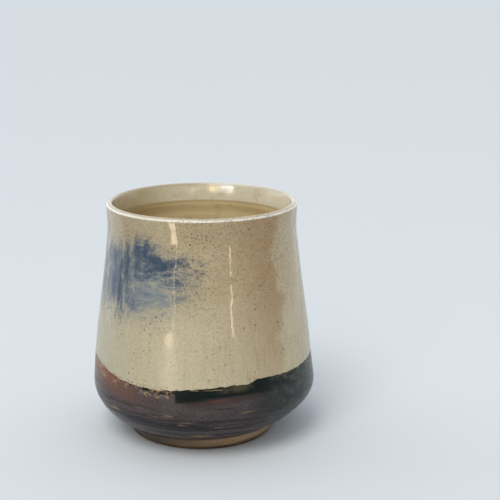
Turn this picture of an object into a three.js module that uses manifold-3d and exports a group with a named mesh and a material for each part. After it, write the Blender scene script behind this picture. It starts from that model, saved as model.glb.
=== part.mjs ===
// Hand-thrown stoneware tumbler: a round cup without a handle, wide at the belly,
// drawn in at the neck, standing on a turned foot ring that is left unglazed.
// The clay is one fired piece. Three coats are fused onto it: a liner glaze inside,
// a pale glaze on the upper wall and a dark brushed band round the belly.
// Millimetres, +Z up. The origin is the centre of the foot ring, on the table.

import * as THREE from "three";
import { mergeVertices } from "three/addons/utils/BufferGeometryUtils.js";
import Module from "manifold-3d";

// Driving dimensions of the finished cup, coats included
const HEIGHT = 90; // table to the top of the lip
const RIM_RADIUS = 36.3; // outside of the lip
const RIM_THICKNESS = 2.3; // across the rounded lip
const NECK_RADIUS = 36.0; // narrowest outside, just under the lip
const NECK_DROP = 9; // lip down to the narrowest outside
const NECK_TURN = 7; // length over which the wall straightens into the neck
const NECK_WALL = 3; // wall at the ridge inside the neck
const RIDGE_DROP = 7; // lip down to the ridge inside the neck
const BELLY_RADIUS = 42.8; // widest outside
const BELLY_HEIGHT = 20; // table up to the widest outside
const BELLY_TURN = 6.5; // length over which the belly turns under
const BELLY_WALL = 4.4; // wall at the belly
const SHOULDER = 13; // length over which the belly turns into the wall
const FLOOR_THICKNESS = 6; // clay under the inside floor, liner included
const CORNER_RISE = 15; // inside corner, up the wall
const CORNER_RUN = 15; // inside corner, across the floor

// Foot ring, turned out of the same clay
const FOOT_RADIUS = 29.3; // outside of the ring, above its lower bevel
const FOOT_FLARE = 0.8; // how much wider the ring is at its top
const FOOT_HEIGHT = 4.5; // table to where the belly starts
const FOOT_WIDTH = 6.2; // across the ring, bevels included
const FOOT_EDGE = 1.4; // bevel on both lower edges of the ring
const FOOT_RECESS = 3; // hollow inside the ring
const UNDERSIDE_REACH = 5; // how far the underside runs out before it turns up
const UNDERSIDE_RISE = 26; // degrees above level where the underside leaves the foot

// Coats
const GLAZE = 0.4; // thickness of every coat
const BAND_HEIGHT = 30; // table to the middle of the band's brushed upper edge
const BAND_SWELL = 1.6; // how far the edge rises and dips in slow waves
const SWELL_AT = -15; // degrees round from the right where a slow wave is highest
const SWELLS = 2; // slow waves in one turn
const BAND_RIPPLE = 0.8; // a quicker wave on top of them
const RIPPLE_AT = 12; // degrees round from the right where a ripple is highest
const RIPPLES = 4; // ripples in one turn

// Mesh fineness
const SEGMENTS = 48; // facets round the cup
const ROWS = { underside: 7, wall: 8, flare: 3, lip: 3, collar: 3, inside: 8, corner: 6 };

const wasm = await Module();
wasm.setup();

const LIP = RIM_THICKNESS / 2;
const LIP_CENTRE = new THREE.Vector2(RIM_RADIUS - LIP, HEIGHT - LIP);
const FLOOR_TOP = FOOT_RECESS + FLOOR_THICKNESS;

const at = (radius, height) => new THREE.Vector2(radius, height);
const bend = (...points) => new THREE.CubicBezierCurve(...points);
const arc = (from, to) =>
  new THREE.EllipseCurve(LIP_CENTRE.x, LIP_CENTRE.y, LIP, LIP, from, to, to < from);
const above = (point, rise) => at(point.x, point.y + rise);

// Outside of the finished cup as curves of radius and height,
// from the top of the foot to the top of the lip.
function outsideCurves() {
  const foot = at(FOOT_RADIUS + FOOT_FLARE, FOOT_HEIGHT);
  const rise = THREE.MathUtils.degToRad(UNDERSIDE_RISE);
  const leave = at(UNDERSIDE_REACH * Math.cos(rise), UNDERSIDE_REACH * Math.sin(rise)).add(foot);
  const belly = at(BELLY_RADIUS, BELLY_HEIGHT);
  const neck = at(NECK_RADIUS, HEIGHT - NECK_DROP);
  const lip = at(RIM_RADIUS, LIP_CENTRE.y);
  const flare = (lip.y - neck.y) / 3;
  return [
    [bend(foot, leave, above(belly, -BELLY_TURN), belly), ROWS.underside],
    [bend(belly, above(belly, SHOULDER), above(neck, -NECK_TURN), neck), ROWS.wall],
    [bend(neck, above(neck, flare), above(lip, -flare), lip), ROWS.flare],
    [arc(0, Math.PI / 2), ROWS.lip],
  ];
}

// Inside of the finished cup, from the top of the lip to the middle of the floor.
function insideCurves() {
  const lip = at(RIM_RADIUS - RIM_THICKNESS, LIP_CENTRE.y);
  const ridge = at(NECK_RADIUS - NECK_WALL, HEIGHT - RIDGE_DROP);
  const belly = at(BELLY_RADIUS - BELLY_WALL, FLOOR_TOP + CORNER_RISE);
  const floor = at(belly.x - CORNER_RUN, FLOOR_TOP);
  const collar = (lip.y - ridge.y) / 3;
  const corner = at(belly.x, floor.y);
  return [
    [arc(Math.PI / 2, Math.PI), ROWS.lip],
    [bend(lip, above(lip, -collar), ridge.clone().lerp(lip, 1 / 3), ridge), ROWS.collar],
    [bend(ridge, ridge.clone().lerp(belly, 1 / 4), above(belly, SHOULDER), belly), ROWS.inside],
    [bend(belly, belly.clone().lerp(corner, 0.6), floor.clone().lerp(corner, 0.6), floor), ROWS.corner],
    [new THREE.LineCurve(floor, at(0, FLOOR_TOP)), 1],
  ];
}

// Rows along a chain of curves: the finished surface, and the clay a coat's thickness under it.
// The surface lies to the right of the direction of travel, so the clay lies to the left.
function rows(chain) {
  const finished = [];
  const clay = [];
  chain.forEach(([curve, count], index) => {
    for (let i = index ? 1 : 0; i <= count; i++) {
      const point = curve.getPoint(i / count);
      const tangent = curve.getTangent(i / count);
      finished.push(point);
      clay.push(at(point.x - tangent.y * GLAZE, point.y + tangent.x * GLAZE));
    }
  });
  return { finished, clay };
}

const outside = rows(outsideCurves());
const inside = rows(insideCurves());
// Both lines of clay end on the middle of the lip, and the floor's end on the axis.
const lipTop = at(LIP_CENTRE.x, HEIGHT - GLAZE);
outside.clay.splice(-1, 1, lipTop);
inside.clay.splice(0, 1, lipTop);
inside.clay.splice(-1, 1, at(0, FLOOR_TOP - GLAZE));

// A turned solid from its outline of radius and height.
function turned(outline) {
  return new THREE.LatheGeometry(outline, SEGMENTS).rotateX(Math.PI / 2);
}

// Bare foot ring of the clay body, from the axis out under the cup and up to the coat's lower edge.
function footOutline() {
  const outer = FOOT_RADIUS;
  const inner = FOOT_RADIUS - FOOT_WIDTH;
  return [
    at(0, FOOT_RECESS),
    at(inner - FOOT_EDGE, FOOT_RECESS),
    at(inner, FOOT_EDGE),
    at(inner + FOOT_EDGE, 0),
    at(outer - FOOT_EDGE, 0),
    at(outer, FOOT_EDGE),
  ];
}

// Coats as closed outlines: along the clay one way and back along the finished surface.
const coatOutline = [...outside.finished, ...outside.clay.toReversed(), outside.finished[0]];
const linerOutline = [...inside.clay.toReversed(), ...inside.finished];
const clayOutline = [...footOutline(), ...outside.clay, ...inside.clay.slice(1)];

// Height of the band's brushed upper edge at an angle round the cup.
function bandEdge(angle) {
  const swell = BAND_SWELL * Math.cos(SWELLS * (angle - THREE.MathUtils.degToRad(SWELL_AT)));
  const ripple = BAND_RIPPLE * Math.cos(RIPPLES * (angle - THREE.MathUtils.degToRad(RIPPLE_AT)));
  return BAND_HEIGHT + swell + ripple;
}

// Everything below the band's edge, as a block with a wavy top.
function belowBandEdge() {
  const reach = BELLY_RADIUS + GLAZE;
  const core = BELLY_RADIUS - BELLY_WALL;
  const top = BAND_HEIGHT;
  const block = turned([at(0, 0), at(reach, 0), at(reach, top), at(core, top), at(0, top)]);
  const place = block.getAttribute("position");
  for (let i = 0; i < place.count; i++) {
    const [x, y, z] = [place.getX(i), place.getY(i), place.getZ(i)];
    const onTop = z > top / 2 && Math.hypot(x, y) > core / 2;
    if (onTop) place.setZ(i, bandEdge(Math.atan2(y, x)));
  }
  return block;
}

// Geometry to solid and back, for the one cut that parts the two outer coats.
function solid(geometry) {
  const bare = new THREE.BufferGeometry();
  bare.setAttribute("position", geometry.getAttribute("position"));
  bare.setIndex(geometry.getIndex());
  const merged = mergeVertices(bare);
  return new wasm.Manifold(
    new wasm.Mesh({
      numProp: 3,
      vertProperties: merged.getAttribute("position").array,
      triVerts: new Uint32Array(merged.getIndex().array),
    }),
  );
}

function geometryOf(body) {
  const { vertProperties, triVerts } = body.getMesh();
  const geometry = new THREE.BufferGeometry();
  geometry.setAttribute("position", new THREE.BufferAttribute(vertProperties, 3));
  geometry.setIndex(new THREE.BufferAttribute(triVerts, 1));
  geometry.computeVertexNormals();
  return geometry;
}

const outerCoat = solid(turned(coatOutline));
const lowerZone = solid(belowBandEdge());

const materials = {
  stoneware: new THREE.MeshStandardMaterial({ color: 0xa58a63, roughness: 0.85, metalness: 0 }),
  liner: new THREE.MeshStandardMaterial({ color: 0xc2b48d, roughness: 0.2, metalness: 0 }),
  pale: new THREE.MeshStandardMaterial({ color: 0xc9bc99, roughness: 0.15, metalness: 0 }),
  dark: new THREE.MeshStandardMaterial({ color: 0x423a38, roughness: 0.35, metalness: 0 }),
};

function piece(name, geometry, material) {
  const mesh = new THREE.Mesh(geometry, material);
  mesh.name = name;
  return mesh;
}

const tumbler = new THREE.Group();
tumbler.name = "tumbler";
tumbler.add(
  piece("stoneware_body", turned(clayOutline), materials.stoneware),
  piece("liner_glaze", turned(linerOutline), materials.liner),
  piece("upper_glaze", geometryOf(outerCoat.subtract(lowerZone)), materials.pale),
  piece("base_band", geometryOf(outerCoat.intersect(lowerZone)), materials.dark),
);

export default tumbler;
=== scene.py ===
from bisect import bisect_left
from math import atan2, cos, degrees, exp, hypot, pi, radians, sin

import bmesh
import bpy
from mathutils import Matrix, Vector, noise
from mathutils.geometry import interpolate_bezier


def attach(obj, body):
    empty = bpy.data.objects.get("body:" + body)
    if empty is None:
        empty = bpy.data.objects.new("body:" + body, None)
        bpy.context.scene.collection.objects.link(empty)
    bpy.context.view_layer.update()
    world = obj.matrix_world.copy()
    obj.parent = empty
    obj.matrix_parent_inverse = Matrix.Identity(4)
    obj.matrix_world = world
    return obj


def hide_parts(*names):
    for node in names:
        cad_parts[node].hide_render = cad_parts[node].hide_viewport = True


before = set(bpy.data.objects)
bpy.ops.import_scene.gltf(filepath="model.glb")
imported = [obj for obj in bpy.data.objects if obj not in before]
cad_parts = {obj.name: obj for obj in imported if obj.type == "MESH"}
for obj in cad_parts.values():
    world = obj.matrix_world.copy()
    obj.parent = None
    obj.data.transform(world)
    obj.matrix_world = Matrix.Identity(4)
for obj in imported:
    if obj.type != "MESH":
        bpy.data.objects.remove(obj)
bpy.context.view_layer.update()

# Clay body
# One lump of buff stoneware with iron specks, thrown on a wheel: wall, floor and lip.
# When leather-hard it was turned upside down to cut the foot ring, which stays bare.
MM = 0.001
GLAZE = 0.4  # mm, thickness of every coat that lies on the clay
FACETS = 240  # round the cup
LIP_ROWS = 10  # over the outer half of the lip, and over the inner half
SAME_POINT = 0.0005  # mm, points nearer than this are merged
CRISP = 50  # degrees, an edge that turns more than this stays sharp

# Places on the outline of the finished cup, coats included, as (radius, height) in mm
FOOT_TOP = (30.1, 4.5)
BELLY = (42.8, 20)
NECK = (36, 81)
LIP_SIDE = (36.3, 88.85)
LIP_MIDDLE = (35.15, 88.85)
LIP_ROUND = 1.15  # mm, half the thickness of the lip
COLLAR_TOP = (34.03, 89.12)  # inside, where the lip ends
RIDGE = (33, 83)  # inside, where the collar under the lip ends
CORNER = (38.4, 24)  # inside, where the wall starts to turn into the floor
FLOOR_EDGE = (23.4, 9)
RING_DEPTH = 0.12  # mm, throwing rings that the fingers left inside
RING_SPACING = 5.9  # mm


def run(start, leave, arrive, end, count):
    """Points of a smooth run of the outline, as (radius, height) in mm."""
    corners = [Vector((radius, 0, height)) for radius, height in (start, leave, arrive, end)]
    return [(point.x, point.z) for point in interpolate_bezier(*corners, count)]


def lip_arc(first, last):
    """Part of the rounded lip between two angles in degrees: 0 is outside, 90 on top, 180 inside."""
    across, up = LIP_MIDDLE
    turns = [radians(first + (last - first) * i / LIP_ROWS) for i in range(LIP_ROWS + 1)]
    return [(across + LIP_ROUND * cos(turn), up + LIP_ROUND * sin(turn)) for turn in turns]


def join(*runs):
    """One line out of runs that share their end points."""
    return [point for part in runs[:-1] for point in part[:-1]] + runs[-1]


def under_coat(line):
    """The clay under a line of finished surface, one coat deep on its left-hand side."""
    clay = []
    for i, (radius, height) in enumerate(line):
        before, after = line[max(i - 1, 0)], line[min(i + 1, len(line) - 1)]
        along = Vector((after[0] - before[0], after[1] - before[1])).normalized()
        clay.append((max(radius - along.y * GLAZE, 0), height + along.x * GLAZE))
    return clay


outside = join(
    run(FOOT_TOP, (34.6, 6.7), (42.8, 13.5), BELLY, 30),  # underside of the belly
    run(BELLY, (42.8, 33), (36, 74), NECK, 44),  # wall
    run(NECK, (36, 83.6), (36.3, 86.2), LIP_SIDE, 10),  # flare under the lip
    lip_arc(0, 90),
)
wall = run(RIDGE, (34.35, 68.25), (38.4, 37), CORNER, 80)
ringed_wall = [
    (radius + RING_DEPTH * sin(2 * pi * (height - CORNER[1]) / RING_SPACING), height)
    for radius, height in wall
]
inside = join(
    lip_arc(90, 166.5),
    run(COLLAR_TOP, (33.6, 87.3), (33.15, 85), RIDGE, 10),  # collar
    ringed_wall,
    run(CORNER, (38.4, 15), (32.4, 9), FLOOR_EDGE, 24),
    [FLOOR_EDGE, (12, 9), (0, 9)],  # floor
)
# The foot's own outline stops one point short, where the clay under the band starts.
foot = join(
    [(0, 3), (10, 3), (21, 3)],  # hollow under the floor
    run((21, 3), (22, 3), (22.8, 1.9), (23.1, 1.4), 4),
    run((23.1, 1.4), (23.5, 0.7), (23.9, 0), (24.6, 0), 5),  # inner bevel
    [(24.6, 0), (27.6, 0)],  # the flat that stands on the table
    run((27.6, 0), (28.3, 0), (29.1, 0.9), (29.3, 1.5), 6),  # outer bevel
    run((29.3, 1.5), (29.5, 2.5), (29.7, 3.7), (29.9, 4.8), 4),  # side of the ring
)[:-1]

# How this cup departs from a true round
WANDER = 0.16  # mm, slow unevenness of the wall
DIMPLES = 0.05  # mm, quicker unevenness on it
MEAN_RADIUS = 40  # mm, makes both as tall as they are wide
SETS_IN = 4  # mm, height over which the unevenness sets in above the flat foot
TILT = 0.75  # mm, how far the belly's underside rides up on the right and down on the left
SAG = 0.35  # mm, how far it hangs on both sides
FULLNESS = 0.7  # mm, how far it swells on the right
DRAWN_IN = 1.7  # mm, how far the foot is drawn in below that


def near(height, middle, reach):
    """1 at a middle height, fading away over a reach above and below it, all in mm."""
    return exp(-((height - middle) / reach) ** 2)


def by_hand(place):
    """Moves a point of a true round to where the hand left it; the foot's face stays flat."""
    radius = hypot(place.x, place.y)
    if radius < 1 * MM:
        return place
    height = place.z / MM
    rightward = place.x / radius
    standing = min(1, height / SETS_IN)
    round_the_cup = Vector((rightward, place.y / radius, height / MEAN_RADIUS))
    wander = WANDER * noise.noise(round_the_cup * 2.2) + DIMPLES * noise.noise(round_the_cup * 7)
    lean = (TILT * rightward - SAG * rightward ** 2) * near(height, 11, 9)
    slump = max(rightward, 0) ** 2 * (FULLNESS * near(height, 15, 8) - DRAWN_IN * near(height, 0, 6))
    grown = 1 + (wander * standing + slump) * MM / radius
    return Vector((place.x * grown, place.y * grown, place.z + lean * standing * MM))


def spun(name, outline, shape=None):
    """A piece turned from its outline round the axis; shape moves each point before the hand does."""
    bm = bmesh.new()
    points = [bm.verts.new((radius * MM, 0, height * MM)) for radius, height in outline]
    edges = [bm.edges.new(pair) for pair in zip(points, points[1:])]
    if outline[0][0] > 0:
        edges.append(bm.edges.new((points[-1], points[0])))
    bmesh.ops.spin(bm, geom=points + edges, cent=(0, 0, 0), axis=(0, 0, 1), angle=2 * pi, steps=FACETS,
                   use_merge=True)
    bmesh.ops.remove_doubles(bm, verts=bm.verts, dist=SAME_POINT * MM)
    bmesh.ops.recalc_face_normals(bm, faces=bm.faces)
    if shape:
        shape(bm)
    for vert in bm.verts:
        vert.co = by_hand(vert.co)
    mesh = bpy.data.meshes.new(name)
    bm.to_mesh(mesh)
    bm.free()
    mesh.shade_smooth()
    mesh.set_sharp_from_angle(angle=radians(CRISP))
    piece = bpy.data.objects.new(name, mesh)
    bpy.context.collection.objects.link(piece)
    return piece


def linear(code):
    """An sRGB hex colour as linear RGBA."""
    parts = [int(code[i:i + 2], 16) / 255 for i in (1, 3, 5)]
    return [p / 12.92 if p <= 0.04045 else ((p + 0.055) / 1.055) ** 2.4 for p in parts] + [1]


def add(tree, kind, inputs, out=0, **settings):
    """Adds one shader node, sets or links its inputs and gives back one of its outputs."""
    made = tree.nodes.new("ShaderNode" + kind)
    for key, value in settings.items():
        setattr(made, key, value)
    for key, value in inputs.items():
        if isinstance(value, bpy.types.NodeSocket):
            tree.links.new(value, made.inputs[key])
        else:
            made.inputs[key].default_value = value
    return made.outputs[out] if made.outputs else made


def start_material(name):
    """A new material with its place on the cup in mm, so that a pattern of n mm has the scale 1 / n."""
    material = bpy.data.materials.new(name)
    material.use_nodes = True
    tree = material.node_tree
    tree.nodes.clear()
    place = add(tree, "TexCoord", {}, out="Object")
    return material, tree, add(tree, "VectorMath", {0: place, "Scale": 1 / MM}, operation="SCALE")


def round_from_front(tree, place):
    """Degrees round the cup from its front, to the right, and the height in mm."""
    axes = add(tree, "SeparateXYZ", {0: place}).node.outputs
    front = add(tree, "Math", {0: axes["Y"], 1: -1.0}, operation="MULTIPLY")
    turn = add(tree, "Math", {0: axes["X"], 1: front}, operation="ARCTAN2")
    return add(tree, "Math", {0: turn, 1: 180 / pi}, operation="MULTIPLY"), axes["Z"]


def brush_on(tree, under, code, *limits):
    """Lays a colour over what is under it where each value has gone from its first limit to its second.

    A limit may add the least and the most that its value lets through.
    """
    mask = 1.0
    for value, start, full, *share in limits:
        least, most = share or (0.0, 1.0)
        step = add(tree, "MapRange", {0: value, 1: start, 2: full, 3: least, 4: most},
                   interpolation_type="SMOOTHSTEP")
        mask = add(tree, "Math", {0: step, 1: mask}, operation="MULTIPLY")
    return add(tree, "Mix", {0: mask, 6: under, 7: linear(code)}, out=2, data_type="RGBA")


# Bare stoneware: fired buff clay, dry to the eye, with iron specks and the fine rings of the turning tool.
# Wiped-off oxide greys the upper part, most on the left, and painted shade darkens the lower bevel over the
# table.
clay, tree, place = start_material("bare_fired_stoneware")
turn, height = round_from_front(tree, place)
aside = add(tree, "Math", {0: turn}, operation="ABSOLUTE")
grain = add(tree, "TexNoise", {"Vector": place, "Scale": 1 / 0.6, "Detail": 4})
blotch = add(tree, "TexNoise", {"Vector": place, "Scale": 1 / 7, "Detail": 3})
level = add(tree, "VectorMath", {0: place, 1: (0.05, 0.05, 1)}, operation="MULTIPLY")
rings = add(tree, "TexNoise", {"Vector": level, "Scale": 1 / 0.7, "Detail": 3})
cell = add(tree, "TexVoronoi", {"Vector": place, "Scale": 1 / 1.5})
wiped = add(tree, "Math", {0: blotch, 1: 3.0, 2: height}, operation="MULTIPLY_ADD")
colour = add(tree, "Mix", {0: grain, 6: linear("#8b7152"), 7: linear("#b39876")}, out=2, data_type="RGBA")
colour = brush_on(tree, colour, "#6a523a", (rings, 0.4, 0.65, 0.0, 0.7))
# Grey of the wiped-off oxide at both sides, more of it on the left, and clean clay on the right
colour = brush_on(tree, colour, "#453b3a", (aside, 15, 60, 0.0, 0.9), (wiped, 4.2, 5.2))
colour = brush_on(tree, colour, "#4e403c", (turn, 15, -40, 0.0, 0.9), (turn, -150, -110), (wiped, 2.0, 3.8))
colour = brush_on(tree, colour, "#c4a984", (turn, 8, 35), (turn, 110, 70), (height, 2.0, 3.4, 0.0, 0.7))
# Painted shade on the lower bevel, where it tucks in over the table, then the specks
colour = brush_on(tree, colour, "#432d1c", (height, 2.4, 0.9, 0.0, 0.85))
colour = brush_on(tree, colour, "#3a2a1e", (cell, 0.2, 0.12, 0.0, 0.8))
relief = add(tree, "Math", {0: grain, 1: rings}, operation="ADD")
bump = add(tree, "Bump", {"Height": relief, "Strength": 0.5, "Distance": 0.15 * MM})
shader = add(tree, "BsdfPrincipled", {"Base Color": colour, "Roughness": 0.8, "IOR": 1.5, "Normal": bump})
add(tree, "OutputMaterial", {"Surface": shader})

body = spun("stoneware_wall_and_foot", foot + under_coat(outside) + under_coat(inside)[1:])
body.data.materials.append(clay)
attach(body, "root")
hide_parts("stoneware_body")

# Dark band
# Iron and manganese oxide brushed round the belly on a turning wheel, under thin glaze.
# Its upper edge is where the brush left it; its lower edge was wiped clear of the foot.
BAND_TOP = 30  # mm, middle height of the upper edge
SWELL, SWELLS, SWELL_AT = 1.6, 2, -15  # mm, slow waves in one turn, degrees from the right to a crest
RIPPLE, RIPPLES, RIPPLE_AT = 0.8, 4, 12  # the same for the quicker waves on them
LAP_AT = -65  # degrees from the right, where the brush came round to its own start
LAP_SLOPE = 4.5  # degrees, over which the edge steps up there
LAP_RISE, RISE_LENGTH = 1.0, 16  # mm above the sweep after the step, and the degrees over which it fades
LAP_DIP, DIP_LENGTH = 0.8, 8  # mm below the sweep before the step, and the same
HAIR_MARKS = ((0.35, 17), (0.25, 32))  # mm, and how fine they are


def band_sweep(angle):
    """Height in mm of the band's upper edge at an angle round the cup, as the arm swept it."""
    swell = SWELL * cos(SWELLS * (angle - radians(SWELL_AT)))
    ripple = RIPPLE * cos(RIPPLES * (angle - radians(RIPPLE_AT)))
    return BAND_TOP + swell + ripple


def band_edge(angle):
    """The same with the lap of the brush over its own start and the marks of its hairs."""
    past = degrees(angle) - LAP_AT
    over = min(max(past / LAP_SLOPE + 0.5, 0), 1)
    rise = LAP_RISE * over * exp(-abs(past) / RISE_LENGTH)
    dip = LAP_DIP * (1 - over) * exp(-abs(past) / DIP_LENGTH)
    edge = band_sweep(angle) + (rise - dip)
    way = Vector((cos(angle), sin(angle), 0))
    for deep, fine in HAIR_MARKS:
        edge += deep * noise.noise(way * fine)
    return edge


heights = [point[1] for point in outside]


def radius_at(height):
    """Outside radius in mm at a height on the wall, below the lip."""
    i = min(max(bisect_left(heights, height), 1), len(outside) - 1)
    (low_radius, low), (high_radius, high) = outside[i - 1], outside[i]
    share = min(max((height - low) / (high - low), 0), 1) if high > low else 1
    return low_radius + (high_radius - low_radius) * share


def follow_edge(bm, far):
    """Slides a coat along the wall until its cut lies on the band's edge; its end at far, in mm, stays.

    Each point keeps how far it lies below the smooth sweep of that edge, for the colours.
    """
    below = bm.verts.layers.float.new("below_edge")
    for vert in bm.verts:
        angle, height = atan2(vert.co.y, vert.co.x), vert.co.z / MM
        share = min(max((height - far) / (BAND_TOP - far), 0), 1)
        moved = height + (band_edge(angle) - BAND_TOP) * share
        grown = 1 + (radius_at(moved) - radius_at(height)) * MM / hypot(vert.co.x, vert.co.y)
        vert.co = Vector((vert.co.x * grown, vert.co.y * grown, moved * MM))
        vert[below] = band_sweep(angle) - moved


def cut_at(line, height):
    """A rising line parted at a height: the part below and the part above, both with the cut point."""
    i = next(k for k, point in enumerate(line) if point[1] > height)
    (low_radius, low), (high_radius, high) = line[i - 1], line[i]
    cut = (low_radius + (high_radius - low_radius) * (height - low) / (high - low), height)
    return line[:i] + [cut], [cut] + line[i:]


lower_face, upper_face = cut_at(outside, BAND_TOP)
lower_back, upper_back = cut_at(under_coat(outside), BAND_TOP)

# Brushed oxide: purple-black where it is thick, rust where it is thin, green-black where copper was added.
# The brush left level streaks a millimetre or two wide. The thin glaze over it gives a satin gloss.
oxide, tree, place = start_material("brushed_oxide_under_glaze")
turn, height = round_from_front(tree, place)
below = add(tree, "Attribute", {}, out="Fac", attribute_name="below_edge")
# Marks of the brush, drawn out level round the cup
level = add(tree, "VectorMath", {0: place, 1: (0.06, 0.06, 1)}, operation="MULTIPLY")
strokes = add(tree, "TexNoise", {"Vector": level, "Scale": 1 / 1.5, "Detail": 7, "Roughness": 0.7})
hairs = add(tree, "TexNoise", {"Vector": level, "Scale": 1 / 0.7, "Detail": 5, "Roughness": 0.65})
patches = add(tree, "TexNoise", {"Vector": level, "Scale": 1 / 4, "Detail": 4})
sweep = add(tree, "VectorMath", {0: place, 1: (0.035, 0.035, 1)}, operation="MULTIPLY")
sweeps = add(tree, "TexNoise", {"Vector": sweep, "Scale": 1 / 2.6, "Detail": 6, "Roughness": 0.65})
dash = add(tree, "VectorMath", {0: place, 1: (0.1, 0.1, 1)}, operation="MULTIPLY")
scratches = add(tree, "TexNoise", {"Vector": dash, "Scale": 1 / 1.0, "Detail": 4, "Roughness": 0.6})
smear = add(tree, "VectorMath", {0: place, 1: (0.5, 0.5, 1)}, operation="MULTIPLY")
smears = add(tree, "TexNoise", {"Vector": smear, "Scale": 1 / 1.8, "Detail": 4, "Roughness": 0.6})
# Uneven thickness and grain of the oxide itself
cloud = add(tree, "TexNoise", {"Vector": place, "Scale": 1 / 6, "Detail": 7, "Roughness": 0.65})
crumbs = add(tree, "TexNoise", {"Vector": place, "Scale": 1 / 0.8, "Detail": 3, "Roughness": 0.6})
# Distance below the edge and turn from the front, made uneven so that the colours have no straight borders
ragged = add(tree, "Math", {0: cloud, 1: 6.0, 2: below}, operation="MULTIPLY_ADD")
wavy = add(tree, "Math", {0: patches, 1: 4.0, 2: below}, operation="MULTIPLY_ADD")
swung = add(tree, "Math", {0: cloud, 1: 40.0, 2: turn}, operation="MULTIPLY_ADD")

# Ground: purple-grey with paler and near-black streaks, darker low down and on the right, and its grain
colour = add(tree, "Mix", {0: cloud, 6: linear("#322b2d"), 7: linear("#5f5454")}, out=2, data_type="RGBA")
colour = brush_on(tree, colour, "#5b4d4b", (strokes, 0.47, 0.33, 0.0, 0.7))
colour = brush_on(tree, colour, "#0b0b14", (sweeps, 0.47, 0.56, 0.0, 0.95), (height, 20, 14),
                  (crumbs, 0.3, 0.6, 1.0, 0.75))
colour = brush_on(tree, colour, "#14121a", (strokes, 0.55, 0.68, 0.0, 0.8))
colour = brush_on(tree, colour, "#14151f", (swung, 50, 85), (swung, 170, 130), (height, 22, 15, 0.0, 0.7))
colour = brush_on(tree, colour, "#6f6461", (crumbs, 0.56, 0.76, 0.0, 0.7))
colour = brush_on(tree, colour, "#1b181c", (crumbs, 0.44, 0.24, 0.0, 0.7))
# Rust on the left and green-black on the right
colour = brush_on(tree, colour, "#8c583c", (swung, 0, -46), (swung, -150, -110), (ragged, 12, 4.5),
                  (crumbs, 0.3, 0.62, 0.5, 0.95))
colour = brush_on(tree, colour, "#242f2d", (swung, 40, 56), (swung, 160, 120), (ragged, 23, 14),
                  (strokes, 0.3, 0.6, 0.95, 0.6))
# A green-black stroke set down at the front, with a brown shade and a red streak along its lower side
colour = brush_on(tree, colour, "#2a1f18", (turn, -14, -6), (turn, 45, 25), (wavy, 10, 7, 0.0, 0.55))
colour = brush_on(tree, colour, "#633c27", (turn, -12, -4), (turn, 16, 8), (wavy, 6.6, 7.2),
                  (wavy, 8.8, 8.0), (hairs, 0.44, 0.58, 0.0, 0.75))
colour = brush_on(tree, colour, "#000f0b", (turn, -15, -13.5), (turn, 75, 20), (wavy, 7.3, 6.0),
                  (crumbs, 0.35, 0.65, 1.0, 0.94))
# Thin places in the green, where grey and olive show
colour = brush_on(tree, colour, "#56605a", (turn, 30, 48), (turn, 130, 100), (ragged, 20, 12),
                  (smears, 0.48, 0.66, 0.0, 0.6))
colour = brush_on(tree, colour, "#5c573c", (turn, 34, 48), (turn, 100, 75), (ragged, 6.4, 4.6),
                  (smears, 0.5, 0.6, 0.0, 0.7))
colour = brush_on(tree, colour, "#4d4a34", (turn, 3, 14), (turn, 27, 21), (wavy, 5.4, 3.8),
                  (cloud, 0.4, 0.58, 0.0, 0.8))
# A dark line along the edge left of the stroke, then clay left bare: flecks, hairlines and low scratches
colour = brush_on(tree, colour, "#06120d", (turn, -45, -35), (turn, -13, -15), (ragged, 4.4, 3.8))
colour = brush_on(tree, colour, "#a88f6a", (turn, -80, -60), (turn, -12, -15), (ragged, 7.4, 5.0),
                  (smears, 0.48, 0.64, 0.0, 0.9), (crumbs, 0.4, 0.58, 0.1, 1.0))
colour = brush_on(tree, colour, "#8f7a52", (turn, -12, -4), (turn, 18, 8), (ragged, 3.3, 3.6),
                  (ragged, 4.4, 4.0), (hairs, 0.48, 0.58))
colour = brush_on(tree, colour, "#b08a68", (scratches, 0.58, 0.67, 0.0, 0.95), (patches, 0.46, 0.54),
                  (height, 21, 17), (height, 5, 8))
shine = add(tree, "MapRange", {0: strokes, 1: 0.3, 2: 0.7, 3: 0.2, 4: 0.36})
bump = add(tree, "Bump", {"Height": strokes, "Strength": 0.4, "Distance": 0.08 * MM})
shader = add(tree, "BsdfPrincipled", {"Base Color": colour, "Roughness": shine, "IOR": 1.5, "Normal": bump,
                                      "Specular IOR Level": 0.18})
add(tree, "OutputMaterial", {"Surface": shader})

band = spun("dark_brushed_band", lower_face + lower_back[::-1], lambda bm: follow_edge(bm, FOOT_TOP[1]))
band.data.materials.append(oxide)
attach(band, "root")
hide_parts("base_band")

# Upper glaze
# A clear, slightly milky glaze poured over the pale wall from the lip down to the band.
# Iron specks of the clay show through it, and a blue oxide wash lies under it on one side.


def specks(tree, place, spacing, widest):
    """How far a point lies inside a round iron speck; spacing and the widest speck are in mm."""
    cell = add(tree, "TexVoronoi", {"Vector": place, "Scale": 1 / spacing}).node.outputs
    chance = add(tree, "SeparateColor", {0: cell["Color"]})
    reach = add(tree, "Math", {0: chance, 1: widest / 2 / spacing}, operation="MULTIPLY")
    return add(tree, "Math", {0: reach, 1: cell["Distance"]}, operation="SUBTRACT")


def dab(tree, spot, middle, reach):
    """One dab of wash: 1 over its middle, falling through 0 at its reach, in degrees and mm."""
    away = add(tree, "VectorMath", {0: spot, 1: (*middle, 0)}, operation="SUBTRACT")
    away = add(tree, "VectorMath", {0: away, 1: (*reach, 1)}, operation="DIVIDE")
    away = add(tree, "VectorMath", {0: away}, out="Value", operation="LENGTH")
    wet = add(tree, "MapRange", {0: away, 1: 1.0, 2: 0.4}, clamp=False)
    return add(tree, "Math", {0: wet, 1: 1.0}, operation="MINIMUM")
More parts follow.
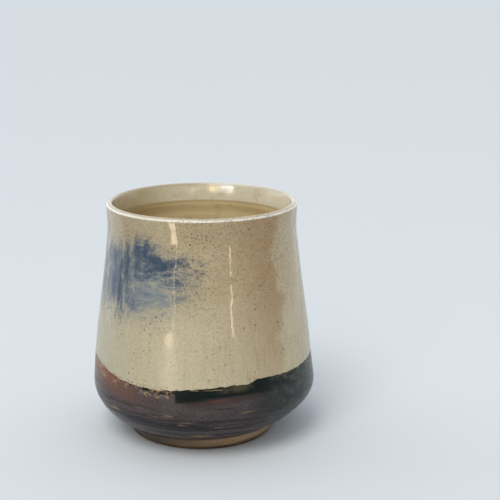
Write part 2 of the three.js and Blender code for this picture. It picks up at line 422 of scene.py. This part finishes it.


# Clear gloss glaze on stoneware: glassy and smooth, milky low on the wall and darker and browner towards
# the lip, partly as painted shade, with a fine grain of clay under it. A painted highlight runs white round
# the lip.
cream, tree, place = start_material("clear_glaze_on_speckled_stoneware")
turn, height = round_from_front(tree, place)
aside = add(tree, "Math", {0: turn}, operation="ABSOLUTE")
below = add(tree, "Attribute", {}, out="Fac", attribute_name="below_edge")
mottle = add(tree, "TexNoise", {"Vector": place, "Scale": 1 / 4, "Detail": 6, "Roughness": 0.6})
grit = add(tree, "TexNoise", {"Vector": place, "Scale": 1 / 0.8, "Detail": 3, "Roughness": 0.6})
drift = add(tree, "TexNoise", {"Vector": place, "Scale": 1 / 20, "Detail": 3})
# Marks of the glaze running down the wall
flow = add(tree, "VectorMath", {0: place, 1: (1, 1, 0.12)}, operation="MULTIPLY")
runs = add(tree, "TexNoise", {"Vector": flow, "Scale": 1 / 3, "Detail": 5})
thread = add(tree, "VectorMath", {0: place, 1: (1, 1, 0.05)}, operation="MULTIPLY")
threads = add(tree, "TexNoise", {"Vector": thread, "Scale": 1 / 0.9, "Detail": 3})
# Turn from the front, made to sway with the height
level = add(tree, "VectorMath", {0: place, 1: (0.3, 0.3, 1)}, operation="MULTIPLY")
sway = add(tree, "TexNoise", {"Vector": level, "Scale": 1 / 13, "Detail": 3})
swayed = add(tree, "Math", {0: sway, 1: 36.0, 2: turn}, operation="MULTIPLY_ADD")

# Ground: cream; greyer on the left, painted shade with a painted reflection of the bluish sky there,
# and darker and browner towards the lip, partly painted shade where the upper wall turns from the light
# above
colour = add(tree, "Mix", {0: mottle, 6: linear("#c2b594"), 7: linear("#cec3a5")}, out=2, data_type="RGBA")
colour = brush_on(tree, colour, "#aaa690", (turn, -10, -60, 0.0, 0.6), (turn, -170, -120))
colour = brush_on(tree, colour, "#978e78", (turn, -15, -50), (turn, -150, -110), (height, 76, 86, 0.0, 0.6))
colour = brush_on(tree, colour, "#ad966f", (height, 35, 84, 0.0, 0.8), (drift, 0.3, 0.6, 0.6, 1.0))
# Browner on the right: painted shade and a painted reflection of the dim room in front, up to a
# swaying edge where the bright reflection begins, and the runs
colour = brush_on(tree, colour, "#a6855a", (turn, 2, 44), (swayed, 68, 62), (height, 26, 75, 0.4, 0.95),
                  (mottle, 0.3, 0.6, 0.7, 1.0))
colour = brush_on(tree, colour, "#b29e78", (runs, 0.52, 0.68, 0.0, 0.22))
colour = brush_on(tree, colour, "#a58b60", (threads, 0.5, 0.66, 0.0, 0.4), (height, 58, 40),
                  (turn, -5, 20), (turn, 70, 45))
# Grain of the clay, then the lip: pale on top, with a painted highlight as a white line round its outer
# side
colour = brush_on(tree, colour, "#8f7b5a", (grit, 0.46, 0.68, 0.0, 0.6), (height, 30, 80, 0.45, 1.0))
colour = brush_on(tree, colour, "#c2b79d", (height, 89.3, 89.6, 0.0, 0.9), (aside, 155, 125))
# Painted highlight: the white line round the lip's outer side
colour = brush_on(tree, colour, "#f6f1e6", (height, 88.7, 88.95, 0.0, 0.95), (height, 89.7, 89.45),
                  (runs, 0.3, 0.55, 0.7, 1.0))
# Crumbs of the band's oxide above its edge, dark all round and rust on the left
colour = brush_on(tree, colour, "#23261f", (grit, 0.62, 0.68), (below, -1.6, -0.1, 0.0, 0.9))
colour = brush_on(tree, colour, "#8f6a4e", (grit, 0.46, 0.62), (below, -1.8, 0.0, 0.0, 0.9),
                  (turn, -14, -26), (turn, -120, -90))

# Blue wash: cobalt oxide in water, dabbed on with a dry brush before glazing, so it breaks up into strokes.
# The brush was pulled downwards on the left and dragged level towards the front.
pull = add(tree, "VectorMath", {0: place, 1: (1, 1, 0.3)}, operation="MULTIPLY")
pulls = add(tree, "TexNoise", {"Vector": pull, "Scale": 1 / 3, "Detail": 9, "Roughness": 0.7,
                               "Distortion": 0.3})
drag = add(tree, "VectorMath", {0: place, 1: (0.45, 0.45, 1)}, operation="MULTIPLY")
drags = add(tree, "TexNoise", {"Vector": drag, "Scale": 1 / 3.5, "Detail": 9, "Roughness": 0.7,
                               "Distortion": 0.5})
sideways = add(tree, "MapRange", {0: turn, 1: -52, 2: -28}, interpolation_type="SMOOTHSTEP")
brush = add(tree, "Mix", {0: sideways, 2: pulls, 3: drags}, data_type="FLOAT")
spot = add(tree, "CombineXYZ", {0: turn, 1: height})
# Three dabs of thick wash, and a wide one of thin wash between and below them
wet = dab(tree, spot, (-64, 66), (34, 17))
for middle, reach in (((-38, 74), (24, 11)), ((-14, 71), (19, 8))):
    wet = add(tree, "Math", {0: wet, 1: dab(tree, spot, middle, reach)}, operation="MAXIMUM")
wet = add(tree, "Math", {0: grit, 1: 1.2, 2: wet}, operation="MULTIPLY_ADD")
thick = add(tree, "Math", {0: brush, 1: 5.0, 2: wet}, operation="MULTIPLY_ADD")
film = dab(tree, spot, (-44, 66), (48, 18))
thin = add(tree, "Math", {0: film, 1: 1.1}, operation="MULTIPLY")
thin = add(tree, "Math", {0: brush, 1: 3.2, 2: thin}, operation="MULTIPLY_ADD")
colour = brush_on(tree, colour, "#7f8a8c", (film, -0.1, 0.7, 0.0, 0.42), (grit, 0.35, 0.65, 0.6, 1.0))
colour = brush_on(tree, colour, "#6a7a86", (thin, 1.9, 2.95, 0.0, 0.85))
colour = brush_on(tree, colour, "#2c4358", (thick, 3.05, 4.6, 0.0, 0.96))

# Iron specks: grains in the clay that melted and bled up through wash and glaze, thickest near the lip.
fine = specks(tree, place, 0.75, 0.62)
colour = brush_on(tree, colour, "#6b5440", (fine, -0.03, 0.08), (drift, 0.35, 0.6, 0.3, 1.0),
                  (height, 38, 78, 0.25, 0.9))
coarse = specks(tree, place, 2.1, 0.8)
colour = brush_on(tree, colour, "#45362b", (coarse, -0.02, 0.04), (drift, 0.35, 0.55, 0.25, 1.0),
                  (height, 26, 82, 0.7, 0.85), (height, 89.0, 88.6, 0.35, 1.0))

waver = add(tree, "TexNoise", {"Vector": place, "Scale": 1 / 9, "Detail": 2})
bump = add(tree, "Bump", {"Height": waver, "Strength": 0.36, "Distance": 0.3 * MM})
shine = add(tree, "MapRange", {0: height, 1: 42, 2: 50, 3: 0.28, 4: 0.06})
shader = add(tree, "BsdfPrincipled", {"Base Color": colour, "Roughness": shine, "IOR": 1.5, "Normal": bump})
add(tree, "OutputMaterial", {"Surface": shader})

upper = spun("cream_upper_glaze", upper_face + upper_back[::-1], lambda bm: follow_edge(bm, NECK[1]))
upper.data.materials.append(cream)
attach(upper, "root")
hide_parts("upper_glaze")

# Liner glaze
# The same glaze poured inside and swirled round, up to the top of the lip.
# Below the ridge at the neck the throwing rings show through it.

# Clear glaze on buff clay: glassy, so that light from the front breaks up in it under the far lip.
# It is warm below the ridge and pale on the collar, with painted light where the collar faces up to the
# sky.
buff, tree, place = start_material("liner_glaze_on_stoneware")
turn, height = round_from_front(tree, place)
aside = add(tree, "Math", {0: turn}, operation="ABSOLUTE")
rightward = add(tree, "SeparateXYZ", {0: place})
mottle = add(tree, "TexNoise", {"Vector": place, "Scale": 1 / 4, "Detail": 6, "Roughness": 0.6})
level = add(tree, "VectorMath", {0: place, 1: (0.06, 0.06, 1)}, operation="MULTIPLY")
rings = add(tree, "TexNoise", {"Vector": level, "Scale": 1 / 1.6, "Detail": 3})
colour = add(tree, "Mix", {0: mottle, 6: linear("#d8c394"), 7: linear("#e3d3ac")}, out=2, data_type="RGBA")
colour = brush_on(tree, colour, "#c8ae7c", (rings, 0.5, 0.62, 0.0, 0.35))
# Pale collar, painted light where it faces up to the sky, and the brown line where it ends at the ridge
colour = brush_on(tree, colour, "#e4dec7", (height, 82.4, 83.6, 0.0, 0.88))
colour = brush_on(tree, colour, "#a98a5c", (height, 82.2, 82.8, 0.0, 0.5), (height, 83.6, 83.0))
# Stains, painted shade on the left side, which faces away from the light, and a few specks
colour = brush_on(tree, colour, "#bfab84", (mottle, 0.5, 0.68, 0.0, 0.4))
colour = brush_on(tree, colour, "#b29d70", (turn, -50, -90, 0.0, 0.7), (turn, -165, -125))
colour = brush_on(tree, colour, "#6b5440", (specks(tree, place, 1.1, 0.6), -0.03, 0.08, 0.0, 0.2))
# Lip: pale, with a painted highlight whiter at the back on the right and painted shade browner at the back
# on the left
colour = brush_on(tree, colour, "#cdc4ad", (height, 88.8, 89.4, 0.0, 0.8))
colour = brush_on(tree, colour, "#eae5d8", (aside, 125, 160, 0.0, 0.7), (height, 88.9, 89.4),
                  (rightward, -10, 14))
colour = brush_on(tree, colour, "#bbaf91", (aside, 95, 135, 0.0, 0.8), (height, 88.9, 89.4),
                  (rightward, 10, -14))
waver = add(tree, "TexNoise", {"Vector": place, "Scale": 1 / 6, "Detail": 4})
waver = add(tree, "Math", {0: rings, 1: 0.15, 2: waver}, operation="MULTIPLY_ADD")
bump = add(tree, "Bump", {"Height": waver, "Strength": 0.6, "Distance": 0.4 * MM})
shader = add(tree, "BsdfPrincipled", {"Base Color": colour, "Roughness": 0.1, "IOR": 1.5, "Normal": bump})
add(tree, "OutputMaterial", {"Surface": shader})

liner = spun("buff_liner_glaze", under_coat(inside)[::-1] + inside)
liner.data.materials.append(buff)
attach(liner, "root")
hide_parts("liner_glaze")

# Table, light and camera
# A plain pale table top under soft daylight from the left and above, seen from a little above the lip.
# Sizes and places here are in metres.
TABLE_REACH = 8

bm = bmesh.new()
bmesh.ops.create_grid(bm, x_segments=1, y_segments=1, size=TABLE_REACH)
mesh = bpy.data.meshes.new("table")
bm.to_mesh(mesh)
bm.free()
table = bpy.data.objects.new("table", mesh)
bpy.context.collection.objects.link(table)
# Matt white paint: one even tone without a reflection.
pale, tree, _ = start_material("pale_table_top")
shader = add(tree, "BsdfPrincipled", {"Base Color": linear("#dfe5ea"), "Roughness": 0.9,
                                      "Specular IOR Level": 0})
add(tree, "OutputMaterial", {"Surface": shader})
mesh.materials.append(pale)


def lamp(name, kind, place, aim, tint, **settings):
    """A light at a place, turned towards a point and left out of the picture itself."""
    light = bpy.data.lights.new(name, kind)
    light.color = linear(tint)[:3]
    for key, value in settings.items():
        setattr(light, key, value)
    holder = bpy.data.objects.new(name, light)
    bpy.context.collection.objects.link(holder)
    holder.location = place
    holder.rotation_euler = (Vector(aim) - Vector(place)).to_track_quat("-Z", "Y").to_euler()
    holder.visible_camera = False
    return holder


def pane(name, place, aim, size, glow, tint):
    """An upright pane that only shows as a bright shape in the glaze and throws no light on the table."""
    width, high = size
    holder = lamp(name, "AREA", place, aim, tint, shape="RECTANGLE", size=width, size_y=high,
                  energy=glow * pi * width * high)
    holder.visible_diffuse = False


def window(name, turn, away, low, high, width, glow, tint):
    """A pane at degrees from the front and a distance from the axis, between two heights."""
    middle = (low + high) / 2
    place = (away * sin(radians(turn)), -away * cos(radians(turn)), middle)
    pane(name, place, (0, 0, middle), (width, high - low), glow, tint)


def white_card(name, x, near_end, far_end, high, glow, tint):
    """A card standing at one side of the cup and behind it, that gives the wall a pale edge."""
    middle = ((near_end + far_end) / 2, high / 2)
    pane(name, (x, *middle), (0, *middle), (far_end - near_end, high), glow, tint)


lamp("daylight", "SUN", (-0.5, -1.0, 1.7), (0, 0, 0), "#fffaf2", energy=1.08, angle=radians(30))
fill = lamp("front_fill", "AREA", (-0.3, -1.1, 0.55), (0, 0, 0.06), "#fff8f0", shape="SQUARE", size=1.0,
            energy=3.6)
fill.visible_glossy = False
white_card("card_right", 0.22, -0.014, 0.8, 0.2, 0.35, "#f4ebd0")
white_card("card_left", -0.22, 0.05, 0.8, 0.2, 0.45, "#e9f2ff")
# Highlights on the outer wall
window("pane_left", -33, 0.26, 0.004, 0.038, 0.03, 9, "#ffe6cc")
window("pane_low_left", -30.8, 0.15, 0.008, 0.03, 0.016, 2, "#ffe6cc")
window("gap_left", -30, 0.3, 0.004, 0.07, 0.004, 6, "#fff6e6")
window("gap_right", 30, 0.4, 0.028, 0.064, 0.0095, 10, "#ffdcb8")
# Highlights inside, under the far lip
window("pane_up_left", -36, 0.3, 0.142, 0.18, 0.09, 18, "#ffffff")
window("pane_up_front", -15, 0.3, 0.15, 0.18, 0.1, 12, "#ffe6a8")
window("pane_up_right", 12, 0.3, 0.14, 0.18, 0.09, 4, "#ffeec4")

# Sky: bright behind the cup and dim in front of it, even overhead, and a little brighter from the left
world = bpy.data.worlds.new("soft_daylight")
bpy.context.scene.world = world
world.use_nodes = True
tree = world.node_tree
tree.nodes.clear()
way = add(tree, "TexCoord", {}, out="Generated")
axes = add(tree, "SeparateXYZ", {0: way}).node.outputs
low_sky = add(tree, "MapRange", {0: axes["Y"], 1: 0.03, 2: 0.1, 3: 0.14, 4: 1.4},
              interpolation_type="SMOOTHSTEP")
overhead = add(tree, "MapRange", {0: axes["Z"], 1: 0.3, 2: 0.85}, interpolation_type="SMOOTHSTEP")
strength = add(tree, "Mix", {0: overhead, 2: low_sky, 3: 0.78}, data_type="FLOAT")
from_left = add(tree, "MapRange", {0: axes["X"], 1: 0.8, 2: -0.8, 3: 0.82, 4: 1.1})
strength = add(tree, "Math", {0: strength, 1: from_left}, operation="MULTIPLY")
sky = add(tree, "Background", {"Color": linear("#ecf1f6"), "Strength": strength})
add(tree, "OutputWorld", {"Surface": sky})

# Camera, found from the ellipses of the lip and foot
LOOK_DOWN = 13.73  # degrees
LOOK_RIGHT = 2.33  # degrees, so that the cup stands left of the middle
eye = bpy.data.cameras.new("eye")
eye.lens = 86.4  # mm, on film 36 mm wide
eye.sensor_width = 36
viewer = bpy.data.objects.new("viewer", eye)
bpy.context.collection.objects.link(viewer)
viewer.location = (0, -0.4486, 0.1797)
viewer.rotation_euler = (radians(90 - LOOK_DOWN), 0, radians(-LOOK_RIGHT))
bpy.context.scene.camera = viewer
bpy.context.scene.view_settings.view_transform = "Standard"
